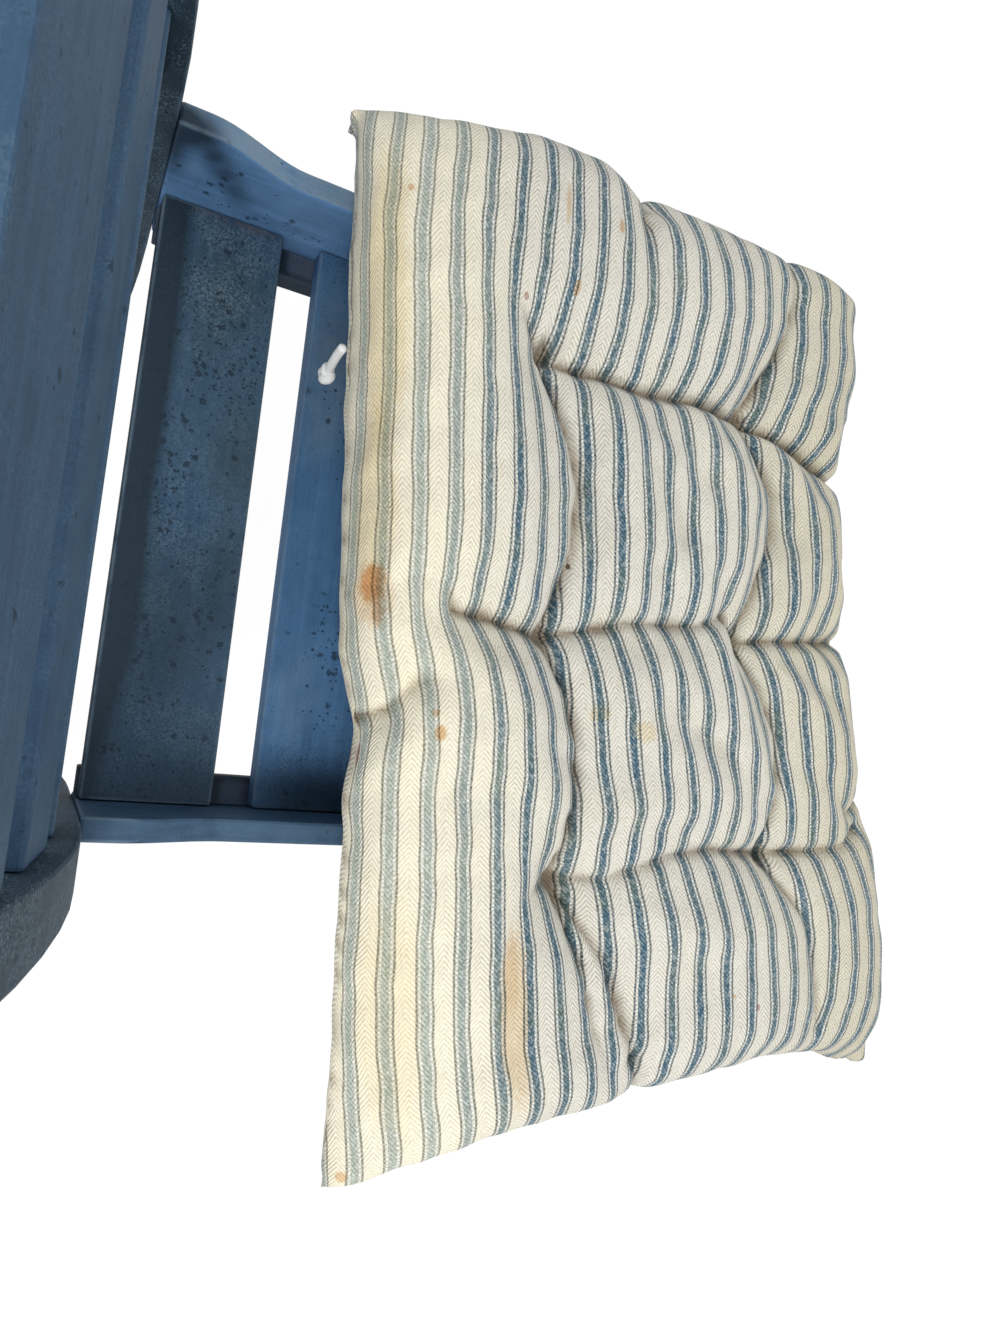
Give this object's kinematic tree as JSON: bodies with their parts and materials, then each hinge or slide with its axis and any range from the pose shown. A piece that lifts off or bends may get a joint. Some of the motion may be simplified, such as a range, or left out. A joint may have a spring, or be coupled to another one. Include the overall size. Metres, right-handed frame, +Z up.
{
  "type": "painted wooden chair with tufted cushion",
  "caption": "Worn blue-painted wooden chair with a sunken slat seat, S-curved side boards and a tufted ticking cushion lying askew on it.",
  "frame": {"origin": "on the floor, under the middle of the bounding box of the chair with its cushion", "axes": "+Z up, -Y towards the front of the chair, +X towards the sitter's left"},
  "size_m": [0.7422, 0.7634, 0.7761],
  "materials": {
    "blue_paint": "old blue paint, matt, mildewed and chipped",
    "worn_blue_paint": "old blue paint, rubbed pale along the edges",
    "dull_steel": "dull, slightly rusty",
    "ticking": "cream herringbone ticking with blue stripes, stained",
    "white_cotton": "white cotton tie"
  },
  "bodies": {
    "root": {"side_board_left": "worn_blue_paint", "side_board_right": "worn_blue_paint", "rear_post_left": "blue_paint", "rear_post_right": "blue_paint", "front_leg_left": "blue_paint", "front_leg_right": "blue_paint", "seat_cleat_left": "blue_paint", "seat_cleat_right": "blue_paint", "seat_slat_1": "blue_paint", "seat_slat_2": "blue_paint", "seat_slat_3": "blue_paint", "seat_slat_4": "blue_paint", "front_rail": "blue_paint", "rear_rail": "blue_paint", "back_slat_1": "blue_paint", "back_slat_2": "blue_paint", "crest_rail": "worn_blue_paint", "cleat_screw_left_1": "dull_steel", "cleat_screw_left_2": "dull_steel", "cleat_screw_left_3": "dull_steel", "cleat_screw_left_4": "dull_steel", "cleat_screw_right_1": "dull_steel", "cleat_screw_right_2": "dull_steel", "cleat_screw_right_3": "dull_steel", "cleat_screw_right_4": "dull_steel", "slat_screw_left_1": "dull_steel", "slat_screw_left_2": "dull_steel", "slat_screw_left_3": "dull_steel", "slat_screw_left_4": "dull_steel", "slat_screw_right_1": "dull_steel", "slat_screw_right_2": "dull_steel", "slat_screw_right_3": "dull_steel", "slat_screw_right_4": "dull_steel", "seat_cushion": "ticking", "cushion_tie": "white_cotton"}
  },
  "joints": []
}
